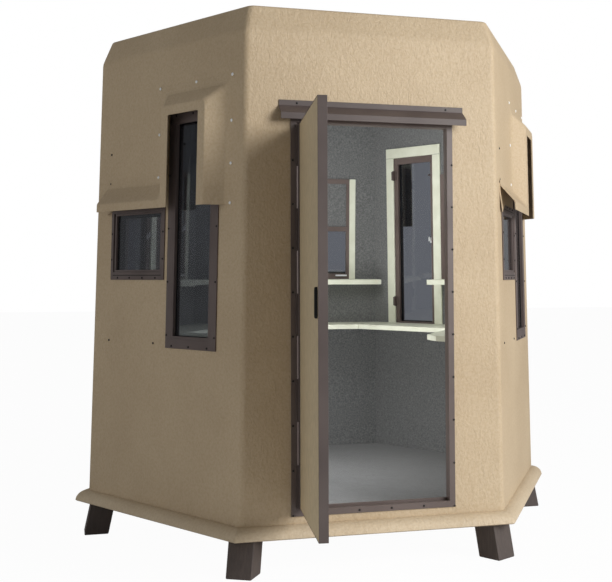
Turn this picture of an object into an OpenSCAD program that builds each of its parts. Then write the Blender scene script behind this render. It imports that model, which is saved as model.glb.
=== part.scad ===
// Six-sided deer blind: a drafted, insulated fibreglass shell on splayed legs,
// with a hinged door and a short and a tall window under a stepped hood on each other side.
// Heights are above the ground. Each wall is drawn as if it were the front one and then turned.

/* [Shell] */
// Width across the flats where the walls meet the base
shell_flats = 1729; // [1600:1:1900]
// Height of the walls from the base to the roof
wall_h = 1772; // [1730:1:1900]
// Inward lean of the walls, in degrees
draft = 1.235; // [0.6:0.005:1.8]
// Radius of the upright corners
corner_r = 30; // [20:1:60]
// Thickness of the insulated wall
wall_t = 28; // [26:1:50]
// Thickness of the carpet on the walls and ceiling
lining_t = 6; // [4:0.5:10]

/* [Roof] */
// Height of the sloped band round the roof
roof_band_h = 96; // [60:1:140]
// How far that band slopes inward
roof_band_in = 34; // [20:1:60]
// Rise of the roof from its edge to the middle
roof_crown = 42; // [20:1:80]

/* [Base] */
// Height of the round-nosed skirt
skirt_h = 44; // [30:1:60]
// How far the skirt stands out past the walls
skirt_out = 45; // [30:1:60]
// Width of the skirt's bearing ring
skirt_ring = 125; // [110:1:160]
// Thickness of the floor carpet
carpet_t = 6; // [4:0.5:12]

/* [Legs] */
// Height of the legs
leg_h = 135; // [100:1:300]
// Side of the square leg
leg_w = 96; // [70:1:110]
// How far each foot splays outward
leg_splay = 28; // [0:1:50]
// Distance from the skirt's corner in to the leg's top
leg_inset = 65; // [50:1:80]

/* [Door] */
// Width of the door leaf
leaf_w = 549; // [520:1:560]
// Height of the door leaf
leaf_h = 1378; // [1300:1:1390]
// Thickness of the door leaf
leaf_t = 31; // [25:1:36]
// Middle of the door along the front wall
door_mid = -6; // [-20:1:20]
// Underside of the door leaf above the base
leaf_lift = 56; // [50:1:80]
// Gap round the closed leaf
leaf_gap = 7; // [6:0.5:9]
// Angle at which the door stands open, in degrees
door_open = 96; // [0:1:165]
// Width of the frame's flange seen from outside
door_flange = 22; // [20:1:30]
// Thickness of the frame's jamb
jamb_t = 10; // [6:1:12]
// How far the door stop stands into the opening
stop_w = 9; // [6:1:12]
// How far the hinge pin stands in from the jamb
hinge_in = 7; // [6:0.5:10]
// Distance from the hinge pin to the leaf
hinge_x = 13; // [10:0.5:16]
// Outer radius of the continuous hinge
hinge_r = 5; // [4:0.5:6]
// Radius of the hinge pin
pin_r = 2.5; // [2:0.1:3]
// Height of the drip cap over the door
cap_h = 75; // [60:1:90]
// Height of the drip cap's front lip
cap_lip = 20; // [12:1:24]
// Height of the flange that holds the drip cap to the wall
cap_flange = 23; // [15:1:30]
// How far the drip cap hangs down over the frame
cap_hang = 16; // [5:1:20]
// How far the drip cap stands out
cap_out = 42; // [30:1:60]
// How far the drip cap runs past the frame at each end
cap_lap = 43; // [20:1:70]
// Thickness of the drip cap's sheet
cap_t = 3; // [2:0.5:5]

/* [Windows] */
// Width of the short window
short_w = 372; // [320:1:390]
// Height of the short window
short_h = 300; // [260:1:310]
// Sill of the short window
short_sill = 1048; // [1000:1:1060]
// Middle of the short window along the wall
short_mid = -178; // [-190:1:-170]
// Width of the tall window
tall_w = 313; // [280:1:330]
// Height of the tall window
tall_h = 898; // [860:1:910]
// Sill of the tall window
tall_sill = 788; // [760:1:800]
// Middle of the tall window along the wall
tall_mid = 186; // [180:1:200]
// Flange of a window frame over the wall
win_lap = 12; // [8:1:15]
// Thickness of a window flange
win_flange_t = 5; // [3:0.5:8]
// Side rail of the short window
short_stile = 17; // [16:1:24]
// Top and bottom rail of the short window
short_rail = 31; // [24:1:40]
// Rail of the tall window's frame
tall_frame = 23; // [20:1:26]
// Width of the flat face of the tall window's frame
tall_face = 38; // [30:1:42]
// Rail of the tall window's sash
sash_w = 22; // [16:1:26]
// Thickness of the tall window's sash
sash_t = 14; // [10:1:18]
// Thickness of the glass
glass_t = 5; // [3:0.5:6]
// Depth of the glass behind the wall's face
glass_depth = 24; // [16:1:26]

/* [Hoods] */
// How far a hood stands out from the wall
hood_out = 60; // [40:1:80]
// Thickness of a hood's shell
hood_t = 4; // [3:0.5:6]
// Lower edge of the hoods
hood_foot = 1322; // [1300:1:1330]
// Run of the slopes beside and over the tall window
hood_run = 59; // [40:1:70]
// Margin from the tall window's frame out to the hood's slope
hood_side = 37; // [30:1:45]
// Margin over the tall window's frame
hood_head = 81; // [60:1:90]
// Height of the front lip over the short window
hood_lip = 31; // [20:1:40]
// Rise of the slope over the short window
hood_rise = 70; // [40:1:90]
// Margin from the short window's frame out to the hood's end
hood_end = 40; // [30:1:45]
// Side of the cut-out for the tall window
hood_hole_w = 190; // [150:1:210]
// Height of the cut-out over the hood's lower edge
hood_hole_h = 350; // [300:1:380]
// Width of the screwed flange round a hood
hood_flange = 44; // [30:1:48]
// Thickness of that flange
hood_flange_t = 3; // [2:0.5:4]

/* [Inside] */
// Rise of the shelf's top over the sills of the tall windows
shelf_rise = 36; // [20:1:50]
// Depth of the shelf
shelf_d = 300; // [200:1:340]
// Thickness of the shelf
shelf_t = 22; // [16:1:30]
// Free width kept in front of the door
aisle_w = 660; // [640:1:760]
// Depth of the ledges under the short windows
ledge_d = 120; // [80:1:150]
// Thickness of a ledge
ledge_t = 25; // [18:1:30]
// Width of the boards round a tall window
casing_w = 50; // [40:1:55]
// Thickness of the boards and inner window frames
casing_t = 8; // [6:1:18]
// Width of the inner frame of a short window, less its board by the tall one
inner_w = 292; // [260:1:300]
// Height of the inner frame of a short window
inner_h = 521; // [460:1:560]
// Side rail of that frame
inner_stile = 17; // [12:1:24]
// Cross rail of that frame
inner_rail = 25; // [16:1:30]
// Width of the board beside that frame
strip_w = 33; // [20:1:36]

/* [Hidden] */
// Fits and small margins
seam = 0.2;
fit = 0.3;
cut = 5;
far = 3000;
flat_sides = 6;
arc_steps = 4;
nose_steps = 6;
crown_steps = 4;
crown_ap = 160;

// Levels and the drafted wall
base_z = leg_h + skirt_h;
fold_z = base_z + wall_h;
edge_z = fold_z + roof_band_h;
floor_z = base_z + carpet_t;
lean = tan(draft);
function wall_ap(z) = shell_flats / 2 - lean * (z - base_z);
function inner_ap(z) = wall_ap(z) - wall_t - lining_t;
skirt_ap = shell_flats / 2 + skirt_out;
lining_w = -wall_t - lining_t;
lining_top = fold_z - lining_t - seam;

// Door, measured along and out from the front wall
leaf_z = base_z + leaf_lift;
jamb_half = (hinge_in + hinge_x + leaf_w + leaf_gap) / 2;
door_cut_half = jamb_half + jamb_t;
door_cut_low = leaf_z - leaf_gap - jamb_t;
door_cut_high = leaf_z + leaf_h + leaf_gap + jamb_t;
flange_half = jamb_half + door_flange;
flange_low = leaf_z - leaf_gap - door_flange;
flange_high = leaf_z + leaf_h + leaf_gap + door_flange;
pin_gap = 1;
hinge_u = hinge_in - jamb_half;
hinge_w = win_flange_t + 2 * hinge_r + pin_gap;
hinge_count = 9;
hinge_step = leaf_h / hinge_count;
hinge_web = 3;
hinge_arm = 5;
stop_w0 = hinge_w - leaf_t - leaf_gap;
stop_t = 12;
hinge_stop = hinge_in + hinge_x + stop_w;
edge_w = 30;
skin_t = 3;
skin_in = 2;
edge_y = skin_t + fit;
pull_h = 110;
pull_w = 26;
pull_out = 18;
pull_rise = 58;
pull_in = 40;
door_reach = wall_ap(leaf_z) + hinge_w + (hinge_x + leaf_w) * sin(door_open);
plan_y = (max(door_reach, skirt_ap) - skirt_ap) / 2;

// Windows, hoods and boards, measured along a wall
shelf_top = tall_sill + shelf_rise;
tall_clear = tall_w / 2 - tall_frame;
inner_sill = short_sill + 2;
inner_open_h = (inner_h - 3 * inner_rail) / 2;
ledge_top = inner_sill;
casing_out = tall_clear + casing_w;
casing_head = tall_sill + tall_h - win_lap + casing_w;
casing_left = tall_mid - casing_out;
casing_foot = (shelf_top + (wall_t + lining_t + casing_t) * sin(draft)) / cos(draft) + fit;
hood_right = tall_mid + tall_w / 2 + hood_side;
hood_step = tall_mid - tall_w / 2 - hood_side;
hood_top = tall_sill + tall_h + hood_head;
hood_left = short_mid - short_w / 2 - hood_end;
hood_shelf = hood_foot + hood_lip + hood_rise;
hood_end_run = 12;
hood_corner = 22;
hood_nose = 0.1;

// The hood outline's end face, cut into convex pieces at its hollow corner
hollow_first = 2 + 2 * (arc_steps + 1);
hollow_last = hollow_first + arc_steps;
outline_last = hollow_last + arc_steps + 1;
hood_caps = concat(
    [[for (i = [1:hollow_first]) i]],
    [for (i = [hollow_first:hollow_last - 1]) [1, i, i + 1]],
    [concat([0, 1], [for (i = [hollow_last:outline_last]) i])]);

SIDES = [["left", 300], ["left_back", 240], ["back", 180], ["right_back", 120], ["right", 60]];

// Colours of the finishes
tan_shell = "#c8b394";
brown_metal = "#5b4f4a";
dark_leg = "#3e3532";
grey_carpet = "#5a5c5c";
pale_carpet = "#7e8283";
cream_board = "#d6d9c6";
smoked_glass = "#3c4348";
black_pull = "#1c1c1c";

// Outlines and frames of reference
function arc(c, r, from, to) =
    [for (i = [0:arc_steps]) let(a = from + (to - from) * i / arc_steps) c + r * [cos(a), sin(a)]];

function at_height(outline, z) = [for (p = outline) [p[0], p[1], z]];

function hex_outline(ap, r = 0) =
    [for (k = [0:flat_sides - 1])
        let(a = 60 * k, c = (ap - r) / cos(30) * [cos(a), sin(a)])
        for (p = r > 0 ? arc(c, r, a - 30, a + 30) : [c]) p];

function hex_ring(ap, z, r = 0) = at_height(hex_outline(ap, r), z);

module loft(rings, caps = undef) {
    n = len(rings[0]);
    m = len(rings);
    sides = [for (k = [0:m - 2]) for (i = [0:n - 1])
        let(a = k * n + i, b = k * n + (i + 1) % n)
        [a, a + n, b + n, b]];
    foot = is_undef(caps) ? [[for (i = [0:n - 1]) i]] : caps;
    head = [for (cap = foot) [for (i = [len(cap) - 1:-1:0]) (m - 1) * n + cap[i]]];
    polyhedron([for (ring = rings) for (p = ring) p], concat(foot, sides, head));
}

module hex_plate(ap, low, high) {
    translate([0, 0, low]) linear_extrude(high - low) polygon(hex_outline(ap));
}

module on_plan() {
    translate([0, plan_y, 0]) children();
}

module on_wall(turn) {
    on_plan() rotate([0, 0, turn]) translate([0, -wall_ap(0), 0]) rotate([-draft, 0, 0]) children();
}

module on_door() {
    on_wall(0) translate([door_mid, 0, 0]) children();
}

module slab(w0, w1) {
    translate([0, -w0, 0]) rotate([90, 0, 0]) linear_extrude(w1 - w0) children();
}

module wall_rect(mid, w, low, h) {
    translate([mid - w / 2, low]) square([w, h]);
}

module ring_rect(mid, w, low, h, stile, rail) {
    difference() {
        wall_rect(mid, w, low, h);
        wall_rect(mid, w - 2 * stile, low + rail, h - 2 * rail);
    }
}

module wedge(turn) {
    rotate([0, 0, turn]) translate([0, -seam, 0]) linear_extrude(far)
        polygon([[0, 0], [-far * tan(30), -far], [far * tan(30), -far]]);
}

// A layer of one wall between two depths behind the outer face
module wall_layer(turn, d0, d1, high, r) {
    low = base_z;
    on_plan() intersection() {
        difference() {
            loft([hex_ring(wall_ap(low) - d0, low, r), hex_ring(wall_ap(high) - d0, high, r)]);
            loft([hex_ring(wall_ap(low - cut) - d1, low - cut),
                hex_ring(wall_ap(high + cut) - d1, high + cut)]);
        }
        wedge(turn);
    }
}

module shell_layer(turn) {
    wall_layer(turn, 0, wall_t, fold_z, corner_r);
}

module lining_layer(turn) {
    wall_layer(turn, wall_t + seam, wall_t + lining_t, lining_top, 0);
}

module window_cuts(short_lap, short_low, short_open) {
    slab(-far, far) wall_rect(short_mid, short_w - 2 * short_lap, short_low, short_open);
    slab(-far, far) wall_rect(tall_mid, tall_w - 2 * win_lap, tall_sill + win_lap, tall_h - 2 * win_lap);
}

// Base, floor and legs
module base_skirt() {
    color(tan_shell) on_plan() difference() {
        loft([for (k = [0:nose_steps]) let(a = 90 * k / nose_steps)
            hex_ring(skirt_ap - skirt_out * (1 - cos(a)), leg_h + skirt_h * sin(a), corner_r)]);
        hex_plate(skirt_ap - skirt_ring, leg_h - cut, base_z + cut);
    }
}

module floor_deck() {
    color(cream_board) on_plan() hex_plate(skirt_ap - skirt_ring - fit, leg_h, base_z);
}

module floor_carpet() {
    color(pale_carpet) on_plan() hex_plate(inner_ap(floor_z) - fit, base_z, floor_z);
}

module legs() {
    skirt_corner = skirt_ap / cos(30);
    top_r = skirt_corner - leg_inset - leg_w;
    color(dark_leg) on_plan() for (k = [0:flat_sides - 1]) rotate([0, 0, 60 * k])
        translate([0, leg_w / 2, 0]) rotate([90, 0, 0]) linear_extrude(leg_w)
        polygon([[top_r + leg_splay, 0], [top_r + leg_w + leg_splay, 0],
            [top_r + leg_w, leg_h], [top_r, leg_h]]);
}

// Walls, linings, roof and ceiling
module window_wall(turn) {
    color(tan_shell) difference() {
        shell_layer(turn);
        on_wall(turn) window_cuts(win_lap, short_sill + win_lap, short_h - 2 * win_lap);
    }
}

module front_piece(x0, x1, z0, z1) {
    intersection() {
        children();
        on_door() slab(-far, far) translate([x0, z0]) square([x1 - x0, z1 - z0]);
    }
}

module front_wall(x0, x1, z0, z1) {
    color(tan_shell) front_piece(x0, x1, z0, z1) shell_layer(0);
}

module window_lining(turn) {
    color(grey_carpet) difference() {
        lining_layer(turn);
        on_wall(turn) window_cuts((short_w - inner_w) / 2 + inner_stile,
            inner_sill + inner_rail, inner_open_h);
    }
}

module front_lining() {
    half = door_cut_half + fit;
    color(grey_carpet) {
        front_piece(-far, -half, 0, far) lining_layer(0);
        front_piece(half, far, 0, far) lining_layer(0);
        front_piece(-half + seam, half - seam, 0, door_cut_low - fit) lining_layer(0);
        front_piece(-half + seam, half - seam, door_cut_high + fit, far) lining_layer(0);
    }
}

module roof() {
    edge_ap = wall_ap(fold_z) - roof_band_in;
    color(tan_shell) on_plan() loft(concat(
        [hex_ring(wall_ap(fold_z), fold_z + seam, corner_r)],
        [for (k = [0:crown_steps]) let(t = k / crown_steps)
            hex_ring(edge_ap * (1 - t) + crown_ap * t,
                edge_z + roof_crown * (1 - pow(1 - t, 2)), corner_r)]));
}

module ceiling() {
    color(grey_carpet) on_plan() hex_plate(wall_ap(fold_z) - wall_t - fit, fold_z - lining_t, fold_z);
}

// Stepped hood: an L-shaped outline lofted out from the wall and hollowed from below
function hood_outline(f, t, foot) =
    let(u_left = hood_left + f * hood_end_run + t,
        u_right = hood_right - f * hood_run - t,
        u_step = hood_step + f * hood_run + t,
        z_top = hood_top - f * hood_run - t,
        z_step = hood_shelf - f * hood_rise - t,
        r = hood_corner)
    concat([[u_left, foot], [u_right, foot]],
        arc([u_right - r, z_top - r], r, 0, 90),
        arc([u_step + r, z_top - r], r, 90, 180),
        arc([u_step - r, z_step + r], r, 360, 270),
        arc([u_left + r, z_step - r], r, 90, 180));

module hood(turn) {
    flange_foot = hood_foot - hood_t / 2;
    flange_w = seam + hood_flange_t;
    wall_run = 1.4 * hood_t;
    color(tan_shell) on_wall(turn) rotate([90, 0, 0]) difference() {
        loft([
            at_height(hood_outline(0, -hood_flange, flange_foot), seam),
            at_height(hood_outline(0, -hood_flange, flange_foot), flange_w),
            at_height(hood_outline(0, 0, hood_foot), flange_w),
            at_height(hood_outline(1 - hood_nose, 0, hood_foot), hood_out * (1 - hood_nose)),
            at_height(hood_outline(1, 0, hood_foot), hood_out * (1 - hood_nose / 4)),
            at_height(hood_outline(1 + hood_nose, 0, hood_foot), hood_out)], hood_caps);
        loft([
            at_height(hood_outline(-2 * hood_nose, wall_run, hood_foot - cut), -2 * hood_nose * hood_out),
            at_height(hood_outline(1, wall_run, hood_foot - cut), hood_out - hood_t)], hood_caps);
        translate([tall_mid - hood_hole_w / 2, hood_foot - cut, hood_out / 2])
            cube([hood_hole_w, hood_hole_h + cut, hood_out]);
    }
}

// Windows: flanged frames, tall sash, inner frames and glass
module window_frames(turn) {
    tube = win_lap + fit;
    color(brown_metal) on_wall(turn) {
        slab(seam, win_flange_t) ring_rect(short_mid, short_w, short_sill, short_h, short_stile, short_rail);
        slab(-wall_t + seam, seam) ring_rect(short_mid, short_w - 2 * tube, short_sill + tube,
            short_h - 2 * tube, short_stile - tube, short_rail - tube);
        slab(seam, win_flange_t) ring_rect(tall_mid, tall_w, tall_sill, tall_h, tall_face, tall_face);
        slab(lining_w, seam) ring_rect(tall_mid, tall_w - 2 * tube, tall_sill + tube,
            tall_h - 2 * tube, tall_frame - tube, tall_frame - tube);
        slab(-glass_depth - sash_t / 2, -glass_depth + sash_t / 2)
            ring_rect(tall_mid, tall_w - 2 * tube, tall_sill + tube, tall_h - 2 * tube,
                tall_frame + sash_w - tube, tall_frame + sash_w - tube);
        inner_short_frame();
    }
}

module inner_short_frame() {
    slab(lining_w - casing_t, lining_w - seam) difference() {
        translate([short_mid - inner_w / 2, inner_sill])
            square([casing_left - fit - short_mid + inner_w / 2, inner_h]);
        for (k = [0:1])
            wall_rect(short_mid, inner_w - 2 * inner_stile,
                inner_sill + inner_rail + k * (inner_open_h + inner_rail), inner_open_h);
    }
}

module window_glass() {
    tall_edge = tall_frame + sash_w + fit;
    color(smoked_glass) for (side = SIDES) on_wall(side[1])
        slab(-glass_depth - glass_t / 2, -glass_depth + glass_t / 2) {
            wall_rect(short_mid, short_w - 2 * (short_stile + fit), short_sill + short_rail + fit,
                short_h - 2 * (short_rail + fit));
            wall_rect(tall_mid, tall_w - 2 * tall_edge, tall_sill + tall_edge, tall_h - 2 * tall_edge);
        }
}

// Boards inside
module window_casing(turn) {
    left_edge = short_mid - inner_w / 2;
    color(cream_board) on_wall(turn) slab(lining_w - casing_t, lining_w - seam) {
        difference() {
            wall_rect(tall_mid, 2 * casing_out, casing_foot, casing_head - casing_foot);
            wall_rect(tall_mid, 2 * tall_clear, casing_foot - cut,
                casing_head - casing_w - casing_foot + cut);
        }
        translate([left_edge - strip_w, ledge_top + fit]) square([strip_w - fit, inner_h]);
    }
}

module shelf() {
    ap = inner_ap(shelf_top) - fit;
    color(cream_board) on_plan() for (side = SIDES) difference() {
        intersection() {
            difference() {
                hex_plate(ap, shelf_top - shelf_t, shelf_top);
                hex_plate(ap - shelf_d, shelf_top - shelf_t - cut, shelf_top + cut);
            }
            wedge(side[1]);
        }
        translate([-aisle_w / 2, -far, 0]) cube([aisle_w, far, far]);
    }
}

module window_ledges() {
    corner_u = inner_ap(ledge_top) * tan(30) - fit - seam;
    color(cream_board) for (side = SIDES) on_wall(side[1])
        slab(lining_w - ledge_d, lining_w - fit) translate([-corner_u, ledge_top - ledge_t - fit])
        square([corner_u + casing_left - fit, ledge_t]);
}

// Door frame, cap, hinge and leaf
module door_frame() {
    w = 2 * (door_cut_half - fit);
    low = door_cut_low + fit;
    h = door_cut_high - door_cut_low - 2 * fit;
    hinge_side = jamb_t - fit + hinge_stop;
    color(brown_metal) on_door() {
        slab(seam, win_flange_t) ring_rect(0, 2 * flange_half, flange_low, flange_high - flange_low,
            door_flange, door_flange);
        slab(lining_w - seam, seam) ring_rect(0, w, low, h, jamb_t - fit, jamb_t - fit);
        slab(stop_w0 - stop_t, stop_w0) {
            wall_rect((hinge_side - w) / 2, hinge_side, low, h);
            wall_rect(0, w, low, jamb_t - fit + stop_w);
        }
    }
}

module drip_cap() {
    w = flange_half + cap_lap;
    slope_head = cap_h - cap_flange;
    color(brown_metal) on_door() translate([-w, 0, flange_high - cap_hang]) rotate([90, 0, 90])
        linear_extrude(2 * w)
        polygon([[-seam, cap_h], [-seam, slope_head], [-cap_out, cap_lip], [-cap_out, 0],
            [-cap_out - cap_t, 0], [-cap_out - cap_t, cap_lip + cap_t],
            [-seam - cap_t, slope_head + cap_t], [-seam - cap_t, cap_h]]);
}

module knuckles(first) {
    for (k = [first:2:hinge_count - 1])
        translate([0, 0, k * hinge_step + pin_gap / 2])
            cylinder(r = hinge_r, h = hinge_step - pin_gap, $fn = 32);
}

module door_hinge() {
    color(brown_metal) on_door() translate([hinge_u, -hinge_w, leaf_z]) {
        knuckles(0);
        cylinder(r = pin_r, h = leaf_h - pin_gap / 2, $fn = 32);
        for (k = [0:2:hinge_count - 1]) translate([-hinge_in - hinge_web, 0, k * hinge_step + pin_gap / 2])
            cube([hinge_in + hinge_web - pin_r, hinge_w - win_flange_t - seam, hinge_step - pin_gap]);
    }
}

module swung() {
    on_door() translate([hinge_u, -hinge_w, leaf_z]) rotate([0, 0, -door_open]) children();
}

module door_leaf() {
    color(tan_shell) swung() {
        translate([hinge_x + skin_in + fit, 0, skin_in + fit])
            cube([leaf_w - 2 * (skin_in + fit), skin_t, leaf_h - 2 * (skin_in + fit)]);
        translate([hinge_x + edge_w + fit, 0, edge_w + fit])
            cube([leaf_w - 2 * (edge_w + fit), leaf_t, leaf_h - 2 * (edge_w + fit)]);
    }
}

module door_edge() {
    color(brown_metal) swung() {
        difference() {
            translate([hinge_x, 0, 0]) cube([leaf_w, leaf_t, leaf_h]);
            translate([hinge_x + skin_in, -cut, skin_in])
                cube([leaf_w - 2 * skin_in, cut + edge_y, leaf_h - 2 * skin_in]);
            translate([hinge_x + edge_w, 0, edge_w])
                cube([leaf_w - 2 * edge_w, leaf_t + cut, leaf_h - 2 * edge_w]);
        }
        difference() {
            union() {
                knuckles(1);
                for (k = [1:2:hinge_count - 1]) translate([0, edge_y, k * hinge_step + pin_gap / 2])
                    cube([hinge_x + hinge_arm, hinge_r - edge_y, hinge_step - pin_gap]);
            }
            translate([0, 0, -cut]) cylinder(r = pin_r + seam, h = leaf_h + 2 * cut, $fn = 32);
        }
    }
}

module door_pull() {
    mid_x = hinge_x + leaf_w - pull_in;
    color(black_pull) swung() translate([mid_x, -fit, leaf_h / 2 + pull_rise]) rotate([90, 0, 0]) {
        linear_extrude(pull_out) hull() for (s = [-1, 1])
            translate([0, s * (pull_h - pull_w) / 2]) circle(d = pull_w, $fn = 32);
    }
}

base_skirt();
floor_deck();
floor_carpet();
legs();
front_wall(-far, -door_cut_half - seam, 0, far);  // front_wall_left
front_wall(door_cut_half + seam, far, 0, far);  // front_wall_right
front_wall(-door_cut_half, door_cut_half, door_cut_high, far);  // front_wall_head
front_wall(-door_cut_half, door_cut_half, 0, door_cut_low);  // front_wall_sill
for (side = SIDES) {
    window_wall(side[1]);
    window_lining(side[1]);
    hood(side[1]);
    window_frames(side[1]);
    window_casing(side[1]);
}
front_lining();
roof();
ceiling();
window_glass();
shelf();
window_ledges();
door_frame();
drip_cap();
door_hinge();
door_leaf();
door_edge();
door_pull();
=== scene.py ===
from collections import Counter
import math
import bpy
from mathutils import Matrix, Vector, noise


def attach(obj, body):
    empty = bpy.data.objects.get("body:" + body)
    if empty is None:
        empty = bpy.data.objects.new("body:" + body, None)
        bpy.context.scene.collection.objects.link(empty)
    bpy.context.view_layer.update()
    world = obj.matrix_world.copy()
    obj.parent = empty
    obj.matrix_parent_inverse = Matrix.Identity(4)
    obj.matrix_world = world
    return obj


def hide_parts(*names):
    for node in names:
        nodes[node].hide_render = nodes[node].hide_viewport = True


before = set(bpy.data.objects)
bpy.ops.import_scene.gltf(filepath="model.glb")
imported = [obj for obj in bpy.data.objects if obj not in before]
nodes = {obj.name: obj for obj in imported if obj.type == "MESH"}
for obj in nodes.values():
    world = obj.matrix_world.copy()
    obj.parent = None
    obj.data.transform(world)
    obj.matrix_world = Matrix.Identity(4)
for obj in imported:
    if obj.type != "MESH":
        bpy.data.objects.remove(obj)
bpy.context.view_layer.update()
tan30 = math.tan(math.radians(30))
print("frame loaded:", len(nodes), "nodes")

# the moulding's own sizes in mm, as in the part's source
shell = dict(flats=1729, draft=1.235, cornerR=30, wallT=28, liningT=6, baseZ=179, foldZ=1951, legH=135,
             skirtOut=45, skirtRing=125, bandH=96, bandIn=34, crown=42, crownAp=160, planY=264.357)
sides = dict(left=300, left_back=240, back=180, right_back=120, right=60)  # turn of each window wall
shortWin = dict(mid=-178, w=372, sill=1048, h=300, lap=12, stile=17, rail=31)
tallWin = dict(mid=186, w=313, sill=788, h=898, lap=12)
doorway = dict(mid=-6, half=298, low=218, high=1630)


def wallAp(z):  # mm from the middle out to the wall's face at that height
    return shell["flats"] / 2 - math.tan(math.radians(shell["draft"])) * (z - shell["baseZ"])


def wallMatrix(turn):  # wall frame in metres: x along the wall, -y outward, z up the leaning wall
    lean = Matrix.Rotation(math.radians(-shell["draft"]), 4, "X")
    return (Matrix.Translation((0, shell["planY"] / 1000, 0)) @ Matrix.Rotation(math.radians(turn), 4, "Z")
            @ Matrix.Translation((0, -wallAp(0) / 1000, 0)) @ lean)


def onWall(turn, u, w, z):  # mm along the wall, out from it and up it
    return wallMatrix(turn) @ Vector((u / 1000, -w / 1000, z / 1000))


# colours and node helper
def toLinear(hexCode):
    parts = [int(hexCode[i:i + 2], 16) / 255 for i in (1, 3, 5)]
    return tuple(c / 12.92 if c <= 0.04045 else ((c + 0.055) / 1.055) ** 2.4 for c in parts) + (1.0,)


def addNode(tree, kind, inputs=None, feeds=None, steps=(), **settings):
    made = tree.nodes.new(kind)
    for key, value in settings.items():
        setattr(made, key, value)
    for i, (position, hexCode) in enumerate(steps):  # stops of a colour ramp
        stops = made.color_ramp.elements
        stop = stops[i] if i < 2 else stops.new(position)
        stop.position = position
        stop.color = toLinear(hexCode)
    for key, value in (inputs or {}).items():  # a value, a socket to link, or a node for its first output
        if isinstance(value, bpy.types.Node):
            value = value.outputs[0]
        if isinstance(value, bpy.types.NodeSocket):
            tree.links.new(value, made.inputs[key])
        else:
            made.inputs[key].default_value = value
    if feeds is not None:
        tree.links.new(made.outputs[0], feeds)
    return made


def startMaterial(name, roughness, metallic=0.0):
    material = bpy.data.materials.new(name)
    material.use_nodes = True
    tree = material.node_tree
    sockets = tree.nodes["Principled BSDF"].inputs
    sockets["Roughness"].default_value = roughness
    sockets["Metallic"].default_value = metallic
    place = addNode(tree, "ShaderNodeTexCoord").outputs["Object"]
    return material, tree, sockets, place


def perMetre(mm):  # texture scale for a feature of that size
    return 1000 / mm


# gel-coated fibreglass, sprayed over a hand-textured mould: satin, rippled like trowelled render
def gelCoat(name, dull, bright):
    material, tree, sockets, place = startMaterial(name, 0.62)
    slant = addNode(tree, "ShaderNodeMapping", {"Vector": place, "Rotation": (0.0, 0.75, 0.0),
                                                "Scale": (1.0, 1.0, 0.55)})
    ripple = addNode(tree, "ShaderNodeTexNoise", {"Vector": slant, "Scale": perMetre(16), "Detail": 5.0,
                                                  "Roughness": 0.6, "Distortion": 0.9})
    grain = addNode(tree, "ShaderNodeTexNoise", {"Vector": place, "Scale": perMetre(9), "Detail": 2.0})
    mottle = addNode(tree, "ShaderNodeTexNoise", {"Vector": place, "Scale": perMetre(420), "Detail": 4.0})
    shade = addNode(tree, "ShaderNodeValToRGB", {"Fac": mottle}, steps=[(0.3, dull), (0.7, bright)])
    dust = addNode(tree, "ShaderNodeValToRGB", {"Fac": grain}, steps=[(0.35, "#f1ece4"), (0.6, "#ffffff")])
    mixed = addNode(tree, "ShaderNodeMix", {0: 0.6, 6: shade, 7: dust},
                    data_type="RGBA", blend_type="MULTIPLY")  # 0 is the share, 6 and 7 are the colours
    tree.links.new(mixed.outputs[2], sockets["Base Color"])
    waves = addNode(tree, "ShaderNodeBump", {"Strength": 0.72, "Distance": 0.005, "Height": ripple})
    addNode(tree, "ShaderNodeBump", {"Strength": 0.25, "Distance": 0.001, "Height": grain,
                                     "Normal": waves}, sockets["Normal"])
    return material


fibreglass = gelCoat("gelcoatFibreglass", "#bda88a", "#c9b597")
skirtLitFibreglass = gelCoat("skirtGelcoatPaintedLight", "#cab79b", "#d6c4a8")  # the skirt: the walls' gel coat painted a shade paler, as painted light for the brighter skirt

# the same gel coat pressed flat on the door: smoother, with the ripple only just showing, and painted paler
# as painted light on the door's shaded face
doorSkinPaintedLight, tree, sockets, place = startMaterial("pressedFibreglassLit", 0.55)
ripple = addNode(tree, "ShaderNodeTexNoise", {"Vector": place, "Scale": perMetre(30), "Detail": 3.0})
addNode(tree, "ShaderNodeValToRGB", {"Fac": ripple}, sockets["Base Color"],
        [(0.3, "#c2b08f"), (0.7, "#cfbc9a")])
addNode(tree, "ShaderNodeBump", {"Strength": 0.25, "Distance": 0.002, "Height": ripple}, sockets["Normal"])

# bronze-painted aluminium extrusion: even satin paint with a faint grain
bronze, tree, sockets, place = startMaterial("bronzePaintedAluminium", 0.42)
grain = addNode(tree, "ShaderNodeTexNoise", {"Vector": place, "Scale": perMetre(6), "Detail": 2.0})
cloud = addNode(tree, "ShaderNodeTexNoise", {"Vector": place, "Scale": perMetre(180), "Detail": 2.0})
addNode(tree, "ShaderNodeValToRGB", {"Fac": cloud}, sockets["Base Color"],
        [(0.3, "#5c504c"), (0.7, "#695d59")])
addNode(tree, "ShaderNodeBump", {"Strength": 0.12, "Distance": 0.0006, "Height": grain}, sockets["Normal"])

# sawn timber posts under dark brown stain: long streaks of grain, dull
stainedPost, tree, sockets, place = startMaterial("stainedTimber", 0.6)
streaks = addNode(tree, "ShaderNodeMapping", {"Vector": place, "Scale": (1.0, 1.0, 0.12)})
grain = addNode(tree, "ShaderNodeTexNoise", {"Vector": streaks, "Scale": perMetre(7), "Detail": 4.0,
                                             "Distortion": 0.4})
addNode(tree, "ShaderNodeValToRGB", {"Fac": grain}, sockets["Base Color"],
        [(0.3, "#4a413d"), (0.7, "#554b46")])
addNode(tree, "ShaderNodeBump", {"Strength": 0.3, "Distance": 0.001, "Height": grain}, sockets["Normal"])

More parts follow.
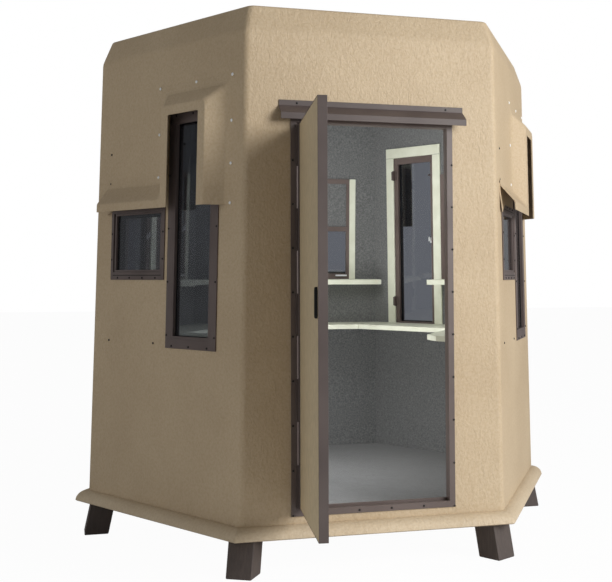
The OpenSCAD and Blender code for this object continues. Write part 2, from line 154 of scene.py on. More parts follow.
# needle-punched wall carpet: matt grey felt with lighter and darker flecks
# the fleck is drawn at 7 mm, coarser than the real fibre, so that it shows
wallCarpet, tree, sockets, place = startMaterial("needledCarpet", 0.95)
fleck = addNode(tree, "ShaderNodeTexNoise", {"Vector": place, "Scale": perMetre(7), "Detail": 4.0,
                                             "Roughness": 0.75})
addNode(tree, "ShaderNodeValToRGB", {"Fac": fleck}, sockets["Base Color"],
        [(0.3, "#4d4e4e"), (0.5, "#666767"), (0.68, "#7f8080")])
addNode(tree, "ShaderNodeBump", {"Strength": 0.4, "Distance": 0.002, "Height": fleck}, sockets["Normal"])
sockets["Sheen Weight"].default_value = 0.25
sockets["Sheen Roughness"].default_value = 0.6

# cut-pile floor carpet: charcoal yarn that lies in soft clumps, matt, with a little sheen
# its fleck is also drawn coarser than the yarn, so that it shows
floorPile, tree, sockets, place = startMaterial("cutPileCarpet", 0.97)
clumps = addNode(tree, "ShaderNodeTexNoise", {"Vector": place, "Scale": perMetre(38), "Detail": 5.0,
                                              "Roughness": 0.7})
fleck = addNode(tree, "ShaderNodeTexNoise", {"Vector": place, "Scale": perMetre(8), "Detail": 4.0,
                                             "Roughness": 0.7})
yarn = addNode(tree, "ShaderNodeValToRGB", {"Fac": fleck},
               steps=[(0.3, "#191b1c"), (0.5, "#2a2c2d"), (0.7, "#3e4041")])
tint = addNode(tree, "ShaderNodeValToRGB", {"Fac": clumps}, steps=[(0.4, "#c2c2c2"), (0.6, "#ffffff")])
mixed = addNode(tree, "ShaderNodeMix", {0: 1.0, 6: yarn, 7: tint},
                data_type="RGBA", blend_type="MULTIPLY")
tree.links.new(mixed.outputs[2], sockets["Base Color"])
addNode(tree, "ShaderNodeBump", {"Strength": 0.7, "Distance": 0.003, "Height": fleck}, sockets["Normal"])
sockets["Sheen Weight"].default_value = 0.3
sockets["Sheen Roughness"].default_value = 0.6

# cream melamine board: smooth satin, faint cloudiness
cream, tree, sockets, place = startMaterial("creamMelamine", 0.4)
cloud = addNode(tree, "ShaderNodeTexNoise", {"Vector": place, "Scale": perMetre(60), "Detail": 3.0})
addNode(tree, "ShaderNodeValToRGB", {"Fac": cloud}, sockets["Base Color"],
        [(0.3, "#d3d5c2"), (0.7, "#dfe1d0")])
addNode(tree, "ShaderNodeBump", {"Strength": 0.08, "Distance": 0.0006, "Height": cloud}, sockets["Normal"])

# plywood deck under the floor: warm grain seen only from below
plywood, tree, sockets, place = startMaterial("plywood", 0.7)
streaks = addNode(tree, "ShaderNodeMapping", {"Vector": place, "Scale": (0.06, 1.0, 1.0)})
grain = addNode(tree, "ShaderNodeTexNoise", {"Vector": streaks, "Scale": perMetre(10), "Detail": 5.0})
addNode(tree, "ShaderNodeValToRGB", {"Fac": grain}, sockets["Base Color"],
        [(0.3, "#a98a5f"), (0.7, "#c7aa7d")])

# grey-tinted float glass: dark and clear, with sharp reflections
glass, tree, sockets, place = startMaterial("tintedGlass", 0.03)
sockets["Base Color"].default_value = toLinear("#64676e")
sockets["Transmission Weight"].default_value = 0.92
sockets["IOR"].default_value = 1.45


# plain finishes with only a faint cloud in them, of about that size
def clouded(name, mm, dull, bright, roughness, metallic=0.0, specular=0.5):
    material, tree, sockets, place = startMaterial(name, roughness, metallic)
    cloud = addNode(tree, "ShaderNodeTexNoise", {"Vector": place, "Scale": perMetre(mm), "Detail": 2.0})
    addNode(tree, "ShaderNodeValToRGB", {"Fac": cloud}, sockets["Base Color"],
            [(0.3, dull), (0.7, bright)])
    sockets["Specular IOR Level"].default_value = specular
    return material


shadedBronze = clouded("bronzePaintedShade", 180, "#4e4340", "#5b504c", 0.5)  # the bronze paint a shade darker, painted shade for the cap's down-facing lip; the door's edge and the hinges use it too
rubber = clouded("blackRubber", 5, "#0b0b0b", "#131313", 0.55, specular=0.25)  # extruded seals: dusty black
paleScrew = clouded("whiteCappedScrew", 4, "#f8f8f7", "#ffffff", 0.35)  # moulded caps: glossy white
darkScrew = clouded("blackOxideSteel", 4, "#141211", "#1e1c1b", 0.45)  # blackened heads: soft dark shine
zinc = clouded("brightZinc", 4, "#e0e3e6", "#f0f1f2", 0.35, 0.2)  # plated latches: pale and bright
print("materials made")


# pieces
def makePiece(name, verts, faces, body, material, slotName=None, replaced=(), smoothAngle=32):
    mesh = bpy.data.meshes.new(name)
    mesh.from_pydata([tuple(v) for v in verts], [], faces)
    mesh.validate()
    mesh.polygons.foreach_set("use_smooth", [True] * len(mesh.polygons))
    mesh.set_sharp_from_angle(angle=math.radians(smoothAngle))
    uses = [key for face in mesh.polygons for key in face.edge_keys]
    rims = {key for key, count in Counter(uses).items() if count == 1}
    for edge in mesh.edges:
        edge.use_edge_sharp = edge.use_edge_sharp or edge.key in rims  # keeps shading off a sheet's rim
    piece = bpy.data.objects.new(name, mesh)
    bpy.context.scene.collection.objects.link(piece)
    piece.data.materials.append(material)
    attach(piece, body)
    if replaced:
        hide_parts(*replaced)
    return piece


def thicken(piece, mm):  # sheet to a solid, grown inward
    skin = piece.modifiers.new("thickness", "SOLIDIFY")
    skin.thickness = mm / 1000
    skin.offset = -1
    skin.use_even_offset = True
    return piece


def evenShade(piece):  # shade flats as flats beside their rounds
    weighted = piece.modifiers.new("shading", "WEIGHTED_NORMAL")
    weighted.keep_sharp = True
    return piece


rounds = dict(weld=0.02, segments=2, angle=35)  # mm, and degrees above which an edge is rounded


def soften(piece, mm):  # small round on the hard edges
    joined = piece.modifiers.new("joined", "WELD")
    joined.merge_threshold = rounds["weld"] / 1000
    edge = piece.modifiers.new("edges", "BEVEL")
    edge.width = mm / 1000
    edge.segments = rounds["segments"]
    edge.limit_method = "ANGLE"
    edge.angle_limit = math.radians(rounds["angle"])
    edge.harden_normals = True
    return piece


def dress(nodeName, material, edgeMm=0):
    node = nodes[nodeName]
    node.data.materials.clear()
    node.data.materials.append(material)
    if edgeMm:
        soften(node, edgeMm)


def arcPoints(cx, cy, r, start, end, steps):
    return [(cx + r * math.cos(math.radians(start + (end - start) * i / steps)),
             cy + r * math.sin(math.radians(start + (end - start) * i / steps))) for i in range(steps + 1)]


def bandFaces(rings, count, spans=None):  # quads between rings of count points: so many spans, or all round
    quads = []
    for k in range(rings - 1):
        for i in range(spans or count):
            j = (i + 1) % count
            quads.append((k * count + i, k * count + j, (k + 1) * count + j, (k + 1) * count + i))
    return quads


def lastPoints(verts, count):
    return tuple(range(len(verts) - count, len(verts)))


def inHole(u, z, cuts):
    return any(left < u < right and low < z < high for left, right, low, high in cuts)


# one moulded shell: skirt, walls and roof swept round the six sides, with the openings left out
# lengths in mm; noseFrom is in degrees, and crownFrom a share of the way from the edge to the crown
moulding = dict(skirtR=7, cornerSteps=6, noseSteps=8, noseFrom=5, noseFoot=5, footLift=0.1, foldSoft=14,
                edgeSoft=9, foldLead=60, crownFrom=0.25, crownSteps=8, squeezeAp=700, smoothAngle=40)


def windowLines(win):
    half = win["w"] / 2 - win["lap"]
    return win["mid"] - half, win["mid"] + half, win["sill"] + win["lap"], win["sill"] + win["h"] - win["lap"]


shortHole, tallHole = windowLines(shortWin), windowLines(tallWin)
doorHole = (doorway["mid"] - doorway["half"], doorway["mid"] + doorway["half"],
            doorway["low"], doorway["high"])
holes = {turn: [shortHole, tallHole] for turn in sides.values()}
holes[0] = [doorHole]


def skirtProfile():  # closed round-nosed section, starting at its inner foot
    skirtAp = shell["flats"] / 2 + shell["skirtOut"]
    skirtH = shell["baseZ"] - shell["legH"]
    inner = skirtAp - shell["skirtRing"]
    rows = [(inner, shell["legH"]), (skirtAp - moulding["noseFoot"], shell["legH"])]
    for i in range(moulding["noseSteps"] + 1):
        a = math.radians(moulding["noseFrom"] + (90 - moulding["noseFrom"]) * i / moulding["noseSteps"])
        rows.append((skirtAp - shell["skirtOut"] * (1 - math.cos(a)), shell["legH"] + skirtH * math.sin(a)))
    return rows + [(inner, shell["baseZ"]), (inner, shell["legH"])]


def softCorner(before, corner, after, soft, steps=5):  # quadratic round that leaves each leg "soft" mm away
    a, b, c = Vector(before), Vector(corner), Vector(after)
    start, end = b + (a - b).normalized() * soft, b + (c - b).normalized() * soft
    points = []
    for i in range(steps + 1):
        t = i / steps
        p = start * (1 - t) ** 2 + b * 2 * t * (1 - t) + end * t ** 2
        points.append((p.x, p.y))
    return points


def shellProfile():  # (apothem, height) from the walls' foot to the roof's crown
    rows = [(wallAp(shell["baseZ"]), shell["baseZ"] + moulding["footLift"])]
    for z in sorted({z for hole in (doorHole, shortHole, tallHole) for z in hole[2:]}):
        rows.append((wallAp(z), z))
    foldZ = shell["foldZ"]
    edgeAp, edgeZ = wallAp(foldZ) - shell["bandIn"], foldZ + shell["bandH"]
    wall = (wallAp(foldZ - moulding["foldLead"]), foldZ - moulding["foldLead"])
    fold, edge = (wallAp(foldZ), foldZ), (edgeAp, edgeZ)

    def crownAt(t):  # from the band's edge to the flat in the middle
        return edgeAp * (1 - t) + shell["crownAp"] * t, edgeZ + shell["crown"] * (1 - (1 - t) ** 2)

    rows += softCorner(wall, fold, edge, moulding["foldSoft"])
    rows += softCorner(fold, edge, crownAt(moulding["crownFrom"]), moulding["edgeSoft"])
    for i in range(1, moulding["crownSteps"] + 1):
        rows.append(crownAt(moulding["crownFrom"] + (1 - moulding["crownFrom"]) * i / moulding["crownSteps"]))
    return rows


def ringColumns(ap, turn, r):  # local (u, out) points of one side: lines of its openings, then its corner
    half = (ap - r) * tan30
    lines = sorted({line for hole in holes[turn] for line in hole[:2]})
    closer = min(1, (ap - r) / (moulding["squeezeAp"] - r))  # the lines draw in towards the crown
    flat = [(u, -ap) for u in [-half] + [u * closer for u in lines]]
    corner = arcPoints(half, -(ap - r), r, -90, -30, moulding["cornerSteps"])
    return flat + corner[:-1]


def sweepRings(rows, r, crowned):
    verts, columns = [], []
    for ap, z in rows:
        for turn in range(0, 360, 60):
            spin = Matrix.Rotation(math.radians(turn), 2)
            for u, v in ringColumns(ap, turn, r):
                p = spin @ Vector((u, v))
                verts.append(Vector((p.x, p.y + shell["planY"], z)) / 1000)
                columns.append((turn, u))
    count = len(verts) // len(rows)
    faces = []
    for face in bandFaces(len(rows), count):
        (turn, u), (nextTurn, nextU) = columns[face[0]], columns[face[1]]
        uMid = (u + nextU) / 2 if nextTurn == turn else u + 0.5  # past the openings
        k = face[0] // count
        if not inHole(uMid, (rows[k][1] + rows[k + 1][1]) / 2, holes[turn]):
            faces.append(face)
    if crowned:
        faces.append(lastPoints(verts, count))
    return verts, faces


shellNodes = ["roof", "front_wall_left", "front_wall_right", "front_wall_head", "front_wall_sill"]
shellNodes += [name + "_wall" for name in sides]
verts, faces = sweepRings(shellProfile(), shell["cornerR"], True)
piece = makePiece("moulded_shell", verts, faces, "blind", fibreglass, "shell", shellNodes,
                  moulding["smoothAngle"])
evenShade(thicken(piece, shell["wallT"]))
verts, faces = sweepRings(skirtProfile(), moulding["skirtR"], False)
evenShade(makePiece("moulded_skirt", verts, faces, "blind", skirtLitFibreglass, "shell", ["base_skirt"],
                    moulding["smoothAngle"]))
print("shell moulded")

# stepped window hoods: flange on the wall, slopes out to a flat front, cut open for the tall window
hood = dict(out=60, t=3, foot=1322, run=59, side=37, head=81, lip=31, rise=70, end=40, endRun=12, corner=22,
            flange=44, drop=2, holeW=190, holeH=350, holeR=6, arcSteps=6, holeSteps=4, smoothAngle=50)
hood["feather"] = ((0, -0.8), (8, 0.1), (16, 0.9), (26, 1.9), (36, 2.7))  # mm in from the rim, mm out
hood["slope"] = ((-0.12, 3.2), (-0.04, 4), (0.03, 5.8), (0.1, 7.5), (0.92, 56), (0.96, 57.9), (1, 59.1),
                 (1.03, 59.7), (1.06, 60))  # share of the slope, mm out: rounded at its foot and its front
hood["right"] = tallWin["mid"] + tallWin["w"] / 2 + hood["side"]
hood["step"] = tallWin["mid"] - tallWin["w"] / 2 - hood["side"]
hood["top"] = tallWin["sill"] + tallWin["h"] + hood["head"]
hood["left"] = shortWin["mid"] - shortWin["w"] / 2 - hood["end"]
hood["shelf"] = hood["foot"] + hood["lip"] + hood["rise"]


def hoodOutline(share, inset=0, drop=0):  # from its right foot over the top and the step to the left end
    left, right = hood["left"] + share * hood["endRun"], hood["right"] - share * hood["run"] - inset
    step, top = hood["step"] + share * hood["run"] + inset, hood["top"] - share * hood["run"] - inset
    shelf, foot = hood["shelf"] - share * hood["rise"] - inset, hood["foot"] - drop
    r, n = hood["corner"], hood["arcSteps"]
    points = [(right, foot)] + arcPoints(right - r, top - r, r, 0, 90, n)
    points += arcPoints(step + r, top - r, r, 90, 180, n) + arcPoints(step - r, shelf + r, r, 360, 270, n)
    return points + [(left, shelf), (left, foot)]


def buildHood(name, turn):
    rings = [(hoodOutline(0, back - hood["flange"], hood["drop"]), w) for back, w in hood["feather"]]
    rings += [(hoodOutline(share), w) for share, w in hood["slope"]]
    count = len(rings[0][0])
    verts = [onWall(turn, u, w, z) for ring, w in rings for u, z in ring]
    faces = bandFaces(len(rings), count, count - 2)  # the end over the short window stays open
    front = lastPoints(verts, count)
    left, right = tallWin["mid"] - hood["holeW"] / 2, tallWin["mid"] + hood["holeW"] / 2
    foot, r, n = hood["foot"], hood["holeR"], hood["holeSteps"]
    shoulder = foot + hood["holeH"] - r
    notch = [(left, foot)] + arcPoints(left + r, shoulder, r, 180, 90, n)
    notch += arcPoints(right - r, shoulder, r, 90, 0, n) + [(right, foot)]
    verts += [onWall(turn, u, hood["out"], z) for u, z in notch]
    faces.append(front + lastPoints(verts, len(notch)))
    piece = makePiece(name + "_moulded_hood", verts, faces, "blind", fibreglass, "shell", [name + "_hood"],
                      hood["smoothAngle"])
    return evenShade(thicken(piece, hood["t"]))


for sideName, turn in sides.items():
    buildHood(sideName, turn)
print("hoods moulded")

# carpet on the walls: a thin felt sheet with a slightly uneven face, cut out at the openings
felt = dict(cell=24, uneven=0.4, wave=60, straight=400, foot=0.4, top=1944.8, t=5.4, face=0.6, doorClear=0.3,
            smoothAngle=60)
innerWin = dict(sill=1050, rail=25, h=223, half=129)  # inner frame of the short window, and its opening
innerLow, clear = innerWin["sill"] + innerWin["rail"], felt["doorClear"]
innerHole = (shortWin["mid"] - innerWin["half"], shortWin["mid"] + innerWin["half"], innerLow,
             innerLow + innerWin["h"])
liningHoles = {turn: [innerHole, tallHole] for turn in sides.values()}
liningHoles[0] = [(doorHole[0] - clear, doorHole[1] + clear, doorHole[2] - clear, doorHole[3] + clear)]
liningDeep = shell["wallT"] + shell["liningT"]


def splitLine(low, high, cuts, cell):  # stops about a cell apart, with one at each cut
    stops = [low] + sorted(c for c in cuts if low < c < high) + [high]
    line = []
    for a, b in zip(stops, stops[1:]):
        n = max(1, round((b - a) / cell))
        line += [a + (b - a) * i / n for i in range(n)]
    return line + [high]


def buildFelt(name, turn, replaced):
    cuts = liningHoles[turn]
    deep = liningDeep - felt["face"]
    halfTop = (wallAp(felt["top"]) - deep) * tan30
    us = splitLine(-halfTop, halfTop, [c for h in cuts for c in h[:2]], felt["cell"])
    zs = splitLine(shell["baseZ"] + felt["foot"], felt["top"], [c for h in cuts for c in h[2:]], felt["cell"])
    strip = halfTop - felt["straight"]
    verts = []
    for z in zs:
        wider = (wallAp(z) - deep) * tan30 - halfTop
        for u in us:
            edge = max(0.0, abs(u) - felt["straight"]) / strip  # only the outer strips taper
            lift = felt["uneven"] * (1 - edge) * noise.noise((u / felt["wave"], z / felt["wave"], turn))
            verts.append(onWall(turn, u + math.copysign(edge * wider, u), lift - deep, z))
    faces = []
    for a, b, c, d in bandFaces(len(zs), len(us), len(us) - 1):
        k, i = divmod(a, len(us))
        if not inHole((us[i] + us[i + 1]) / 2, (zs[k] + zs[k + 1]) / 2, cuts):
            faces.append((a, d, c, b))  # faces the room
    piece = makePiece(name, verts, faces, "blind", wallCarpet, "wall_carpet", replaced, felt["smoothAngle"])
    return thicken(piece, felt["t"])


for sideName, turn in sides.items():
    buildFelt(sideName + "_wall_carpet", turn, [sideName + "_lining"])
buildFelt("front_wall_carpet", 0, ["front_lining"])

# carpet on the floor and ceiling: six-sided sheets
sheet = dict(rings=40, perSide=20, uneven=0.8, wave=70, t=4.5, rim=0.5,
             floorZ=184.2, footZ=185, ceilingZ=1945.8)  # footZ is where the floor's width is taken


def hexFelt(name, ap, z, up, material, slotName, replaced):
    rings, perSide, wave = sheet["rings"], sheet["perSide"], sheet["wave"]
    verts = []
    for k in range(1, rings + 1):
        for turn in range(0, 360, 60):
            spin = Matrix.Rotation(math.radians(turn), 2)
            for i in range(perSide):
                p = spin @ Vector((ap * k / rings * tan30 * (2 * i / perSide - 1), -ap * k / rings))
                lift = sheet["uneven"] * noise.noise((p.x / wave, p.y / wave, z))
                verts.append(Vector((p.x, p.y + shell["planY"], z + lift)) / 1000)
    count = 6 * perSide
    faces = [quad[::-1] if up else quad for quad in bandFaces(rings, count)]
    hub = tuple(range(count))
    faces.append(hub if up else hub[::-1])
    piece = makePiece(name, verts, faces, "blind", material, slotName, replaced, felt["smoothAngle"])
    return thicken(piece, sheet["t"])


floorAp = wallAp(sheet["footZ"]) - liningDeep - sheet["rim"]
ceilingAp = wallAp(shell["foldZ"]) - shell["wallT"] - sheet["rim"]
hexFelt("floor_pile", floorAp, sheet["floorZ"], True, floorPile, "floor_carpet", ["floor_carpet"])
hexFelt("ceiling_felt", ceilingAp, sheet["ceilingZ"], False, wallCarpet, "wall_carpet", ["ceiling"])
print("carpets laid")

# the framed and boarded pieces keep their solids, with small rounds on their edges, in mm
for sideName in sides:
    dress(sideName + "_windows", bronze, 1.6)
    dress(sideName + "_casing", cream, 1.5)
for nodeName, material, edgeMm in (("shelf", cream, 2), ("window_ledges", cream, 2),
                                   ("floor_deck", plywood, 2), ("legs", stainedPost, 4),
                                   ("door_frame", bronze, 1.5), ("drip_cap", shadedBronze, 0.8),
                                   ("door_hinge", shadedBronze, 0), ("door_leaf", doorSkinPaintedLight, 1.2),
                                   ("door_edge", shadedBronze, 1)):
    dress(nodeName, material, edgeMm)
print("frames and boards dressed")

# the pull: a slim black oblong with a domed face, close to the leaf's free edge
pull = dict(x=544, z=733, w=20, h=98, steps=10, smoothAngle=50,
            dome=((1, 0.3), (1, 6), (0.93, 7.8), (0.8, 9.2), (0.6, 9.8), (0.3, 10)))  # share of w, mm out
leaf = dict(pinU=-287, pinW=16, low=235, opened=96)


def onLeaf(x, y, z):  # mm from the hinge pin along the open leaf, in from its outer face and up it
    pin = Matrix.Translation((leaf["pinU"] / 1000, -leaf["pinW"] / 1000, leaf["low"] / 1000))
    swing = Matrix.Rotation(math.radians(-leaf["opened"]), 4, "Z")
    return wallMatrix(0) @ pin @ swing @ Vector((x / 1000, y / 1000, z / 1000))


r, n = pull["w"] / 2, pull["steps"]
straight = pull["h"] / 2 - r
oblong = arcPoints(0, straight, r, 0, 180, n) + arcPoints(0, -straight, r, 180, 360, n)
verts = [onLeaf(pull["x"] + u * share, -out, pull["z"] + v - (1 - share) * math.copysign(r, v))
         for share, out in pull["dome"] for u, v in oblong]
count = len(oblong)
faces = bandFaces(len(pull["dome"]), count)
faces += [lastPoints(verts, count), tuple(range(count))[::-1]]
makePiece("domed_pull", verts, faces, "door", rubber, "pull", ["door_pull"], pull["smoothAngle"])
print("pull set")


# boxes and four-sided rings on a wall
def boxRing(turn, u0, u1, z0, z1, wide, w0, w1):
    outer = [(u0, z0), (u1, z0), (u1, z1), (u0, z1)]
    inner = [(u0 + wide, z0 + wide), (u1 - wide, z0 + wide), (u1 - wide, z1 - wide), (u0 + wide, z1 - wide)]
    verts = [onWall(turn, u, w, z) for w in (w0, w1) for loop in (outer, inner) for u, z in loop]
    faces = []
    for i in range(4):
        j = (i + 1) % 4
        faces += [(i, j, 4 + j, 4 + i), (8 + i, 12 + i, 12 + j, 8 + j)]
        faces += [(i, 8 + i, 8 + j, j), (4 + i, 4 + j, 12 + j, 12 + i)]
    return verts, faces


def wallBox(turn, u0, u1, z0, z1, w0, w1):
    verts = [onWall(turn, u, w, z) for w in (w0, w1) for u, z in ((u0, z0), (u1, z0), (u1, z1), (u0, z1))]
    return verts, [(0, 3, 2, 1), (4, 5, 6, 7), (0, 1, 5, 4), (1, 2, 6, 5), (2, 3, 7, 6), (3, 0, 4, 7)]


def joinParts(parts):
    verts, faces = [], []
    for v, f in parts:
        faces += [tuple(i + len(verts) for i in face) for face in f]
        verts += v
    return verts, faces


# glazing: in each window a pane, a bead round it on the outer side and a rubber seal, and black strips of
# painted shade on the short window's rails
pane = dict(t=4, tallMid=-12, tallClear=2, shortMid=-10, shortClear=0.3)  # further out than the solids' panes
bead = dict(wide=9, tallIn=38, tallFace=4.7, tuck=7, shortIn=5, shortFace=1, clear=0.1)
# line, its foot and its face size the black strips of painted shade on the short window's rails
seal = dict(wide=3, tallT=2.5, shortT=3, line=3, shadeLineFoot=4, shadeLineFace=5.2)
panes, beads, sealsAndShadeLines = [], [], []


def setPane(turn, left, right, low, high, face, clear):
    panes.append(wallBox(turn, left + clear, right - clear, low + clear, high - clear,
                         face - pane["t"], face))


def glazeTall(turn):
    half, face = tallWin["w"] / 2 - bead["tallIn"], pane["tallMid"] + pane["t"] / 2
    left, right = tallWin["mid"] - half, tallWin["mid"] + half
    low, high = tallWin["sill"] + bead["tallIn"], tallWin["sill"] + tallWin["h"] - bead["tallIn"]
    setPane(turn, left, right, low, high, face, pane["tallClear"])
    top, inset = high + bead["tuck"], bead["wide"]  # the head's bead is mostly behind the frame
    beads.append(boxRing(turn, left, right, low, top, inset, face, bead["tallFace"]))
    sealsAndShadeLines.append(boxRing(turn, left + inset, right - inset, low + inset, top - inset, seal["wide"],
                         face, face + seal["tallT"]))


def glazeShort(turn):
    half, face = shortWin["w"] / 2 - shortWin["stile"], pane["shortMid"] + pane["t"] / 2
    left, right = shortWin["mid"] - half, shortWin["mid"] + half
    bottom, top = shortWin["sill"], shortWin["sill"] + shortWin["h"]
    low, high = bottom + shortWin["rail"], top - shortWin["rail"]
    setPane(turn, left, right, low, high, face, pane["shortClear"])
    low, high, inset = low + bead["clear"], high - bead["clear"], bead["shortIn"]
    beads.append(boxRing(turn, left + inset, right - inset, low, high, bead["wide"], face, bead["shortFace"]))
    sealsAndShadeLines.append(boxRing(turn, left, right, low, high, inset, face, face + seal["shortT"]))
    for z in (bottom + shortWin["stile"], top - shortWin["stile"] - seal["line"]):  # painted shade: a dark line on each rail, a black strip for the shadow in the gap between frame and bead
        sealsAndShadeLines.append(wallBox(turn, left, right, z, z + seal["line"], seal["shadeLineFoot"], seal["shadeLineFace"]))


for turn in sides.values():
    glazeTall(turn)
    glazeShort(turn)
makePiece("tinted_panes", *joinParts(panes), "blind", glass, "glass", ["window_glass"])
soften(makePiece("pane_seals_and_shade_lines", *joinParts(sealsAndShadeLines), "blind", rubber, "pull"), 0.6)
soften(makePiece("pane_beads", *joinParts(beads), "blind", bronze, "frame"), 1)
print("windows glazed")

# screws: low domed heads with a cross recess, by their places along and up the wall
screws = dict(hoodD=12, wallD=9, frameD=8, high=3, hoodW=1.6, frameW=5, capW=3, points=12)
hoodScrews = [(-43.5, 1796), (-43.5, 1615), (-43.5, 1448), (190, 1795)]
hoodScrews += [(406.5, z) for z in (1796, 1628, 1472, 1328)]
wallScrews = [(-383, 1563), (-383, 1442), (-370, 802), (-57, 802)]
windowScrews = [(u, z) for z in (1056, 1340) for u in (-310, -226, -136, -47)]
windowScrews += [(u, z) for u in (-356, 0) for z in (1130, 1235)]
windowScrews += [(u, z) for u in (37, 335) for z in (837, 1041, 1245, 1448, 1651)]
windowScrews += [(u, z) for u in (71, 179, 292) for z in (797, 1677)]
doorScrews = [(u, z) for u in (-309, 301) for z in range(209, 1640, 159)]
doorScrews += [(u, 216) for u in (-188, -65, 57, 181)]
capScrews = [(-292, 1690), (279, 1690)]


def screwHead(turn, u, w, z, d):
    wall, n = wallMatrix(turn).to_3x3(), screws["points"]
    outward, across = wall @ Vector((0, -1, 0)), wall @ Vector((1, 0, 0))
    side = outward.cross(across).normalized()
    star = [0.30 if i % 3 == 0 else 0.11 for i in range(n)]  # the recess
    rings = [([0.5] * n, 0.0), ([0.5] * n, 0.3), ([0.43] * n, 0.7), ([0.34] * n, 0.95),
             (star, 1.0), (star, 0.45)]  # radii in shares of the diameter, and share of the height
    verts = []
    for radii, up in rings:
        for i in range(n):
            a = 2 * math.pi * i / n
            out = across * math.cos(a) + side * math.sin(a)
            verts.append(onWall(turn, u, w, z) + (out * radii[i] * d + outward * up * screws["high"]) / 1000)
    return verts, bandFaces(len(rings), n) + [lastPoints(verts, n)]


def driveScrews(turns, places, w, d):
    return [screwHead(turn, u, w, z, d) for turn in turns for u, z in places]


white = driveScrews(sides.values(), hoodScrews, screws["hoodW"], screws["hoodD"])
dark = driveScrews(sides.values(), wallScrews, 0, screws["wallD"])
dark += driveScrews(sides.values(), windowScrews, screws["frameW"], screws["frameD"])
dark += driveScrews([0], doorScrews, screws["frameW"], screws["frameD"])
dark += driveScrews([0], capScrews, screws["capW"], screws["frameD"])
makePiece("hood_screws", *joinParts(white), "blind", paleScrew)
makePiece("frame_screws", *joinParts(dark), "blind", darkScrew)
print("screws driven:", len(white) + len(dark))

# small fittings inside, as boxes: depth of the face each sits on, its u and z, and how far out of that face
sash, board, sunk = -31, -42, -0.5  # a fitting is sunk a little into its face
hinge = dict(heights=(936, 1583), leafHalf=22, knuckleHalf=25)
hingeBoxes = []
for z in hinge["heights"]:
    leafZ = (z - hinge["leafHalf"], z + hinge["leafHalf"])
    knuckleZ = (z - hinge["knuckleHalf"], z + hinge["knuckleHalf"])
    hingeBoxes += [(sash, (303, 317), leafZ, (sunk, 3)), (sash, (315, 321), knuckleZ, (sunk, 16)),
                   (board, (319, 331), leafZ, (sunk, 2.5))]
hingeBoxes.append((sash, (74, 82), (1569, 1577), (sunk, 8)))  # small knob on the tall sash
latchBoxes = [(sash, (71, 81), (1232, 1258), (sunk, 3)),  # the tall window's latch: plate, stem and lever
              (sash, (72, 80), (1240, 1250), (2, 12)),
              (sash, (73, 80), (1240, 1262), (10, 14)),
              (board, (-309, -249), (1065, 1073), (7, 12)),  # the short window's pull: bar and two posts
              (board, (-304, -294), (1066, 1072), (sunk, 8)),
              (board, (-264, -254), (1066, 1072), (sunk, 8))]
jointBoxes = [(board, us, (1673.4, 1674.6), (sunk, 0.12)) for us in ((2.8, 52.2), (319.8, 369.2))]


def fitBoxes(rows):  # the same boxes on each window wall
    return joinParts([wallBox(turn, *us, *zs, face - out[1], face - out[0])
                      for turn in sides.values() for face, us, zs, out in rows])


soften(makePiece("sash_hinges", *fitBoxes(hingeBoxes), "blind", shadedBronze), 1)
soften(makePiece("sash_latches", *fitBoxes(latchBoxes), "blind", zinc), 1)
makePiece("board_joints", *fitBoxes(jointBoxes), "blind", darkScrew)
print("fittings placed")

# camera at the photograph's place, with its frame in pixels
camera = dict(at=(-1.08204, -4.40527, 1.05909), yaw=16.3547, pitch=1.478, sensor=36, focalPx=1079.67,
              centre=(385.68, 249.18), width=612, height=582)
lens = bpy.data.cameras.new("camera")
lens.sensor_width = camera["sensor"]
lens.lens = camera["sensor"] * camera["focalPx"] / camera["width"]
lens.shift_x = (camera["width"] / 2 - camera["centre"][0]) / camera["width"]
lens.shift_y = (camera["centre"][1] - camera["height"] / 2) / camera["width"]
eye = bpy.data.objects.new("camera", lens)
bpy.context.scene.collection.objects.link(eye)
eye.location = camera["at"]
eye.rotation_euler = (math.radians(90 + camera["pitch"]), 0, math.radians(-camera["yaw"]))
bpy.context.scene.camera = eye

# soft studio light: a key from the right, a fill from the left and two lamps in the room
studio = dict(aim=(0, 0, 1.1), ambient=0.145, glossy=0.26, floorHalf=30, floorGlow=0.97)
lamps = dict(key=dict(kind="AREA", at=(4.1, -5.35, 3.2), size=3.4, watts=450),
             fill=dict(kind="AREA", at=(-6.3, -1.2, 2.1), size=4.0, watts=68),
             room=dict(kind="POINT", at=(0.05, 0.2, 1.5), size=0.25, watts=20),
             low=dict(kind="POINT", at=(-0.12, 0.12, 0.52), size=0.3, watts=20))
for name, lamp in lamps.items():
    light = bpy.data.lights.new(name, lamp["kind"])
    light.energy = lamp["watts"]
    setattr(light, "size" if lamp["kind"] == "AREA" else "shadow_soft_size", lamp["size"])
    holder = bpy.data.objects.new(name, light)
    bpy.context.scene.collection.objects.link(holder)
    holder.location = lamp["at"]
    holder.rotation_euler = (Vector(studio["aim"]) - Vector(lamp["at"])).to_track_quat("-Z", "Y").to_euler()
    holder.visible_camera = holder.visible_transmission = False  # nor seen through the panes
    holder.visible_glossy = name == "key"


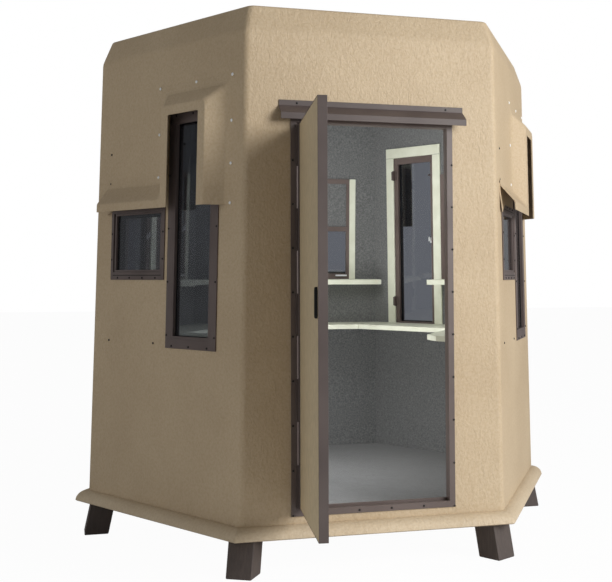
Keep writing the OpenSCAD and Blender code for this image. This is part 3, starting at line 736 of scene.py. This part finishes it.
def seenRays(tree):  # 1 for what the camera sees, straight or through glass
    ray = addNode(tree, "ShaderNodeLightPath")
    seen, through = ray.outputs["Is Camera Ray"], ray.outputs["Is Transmission Ray"]
    return addNode(tree, "ShaderNodeMath", {0: seen, 1: through}, operation="MAXIMUM")


world = bpy.data.worlds.new("studio")
bpy.context.scene.world = world
world.use_nodes = True
tree = world.node_tree
ambient = addNode(tree, "ShaderNodeBackground", {"Color": toLinear("#f2f4f6")})
backdrop = addNode(tree, "ShaderNodeBackground", {"Color": (1, 1, 1, 1), "Strength": 1.0})
glossy = addNode(tree, "ShaderNodeLightPath").outputs["Is Glossy Ray"]
addNode(tree, "ShaderNodeMapRange", {"Value": glossy, "To Min": studio["ambient"],
                                     "To Max": studio["glossy"]}, ambient.inputs["Strength"])
addNode(tree, "ShaderNodeMixShader", {0: seenRays(tree), 1: ambient, 2: backdrop},
        tree.nodes["World Output"].inputs["Surface"])

# pale floor that goes to white round the object and keeps its shadow
half = studio["floorHalf"]
floorMesh = bpy.data.meshes.new("studio_floor")
corners = [(-half, -half, 0), (half, -half, 0), (half, half, 0), (-half, half, 0)]
floorMesh.from_pydata(corners, [], [(0, 1, 2, 3)])
floor = bpy.data.objects.new("studio_floor", floorMesh)
bpy.context.scene.collection.objects.link(floor)
paper, tree, sockets, place = startMaterial("whitePaper", 0.9)
sockets["Base Color"].default_value = toLinear("#f2f2f2")
glow = addNode(tree, "ShaderNodeEmission", {"Color": (1, 1, 1, 1), "Strength": 1.0})
share = addNode(tree, "ShaderNodeMath", {0: seenRays(tree), 1: studio["floorGlow"]}, operation="MULTIPLY")
addNode(tree, "ShaderNodeMixShader", {0: share, 1: tree.nodes["Principled BSDF"], 2: glow},
        tree.nodes["Material Output"].inputs["Surface"])  # what the glow leaves keeps the shadow
floorMesh.materials.append(paper)
bpy.context.scene.view_settings.view_transform = "Standard"
bpy.context.scene.cycles.caustics_refractive = False  # no sparkle in the panes
bpy.context.scene.cycles.caustics_reflective = False
print("studio lit")
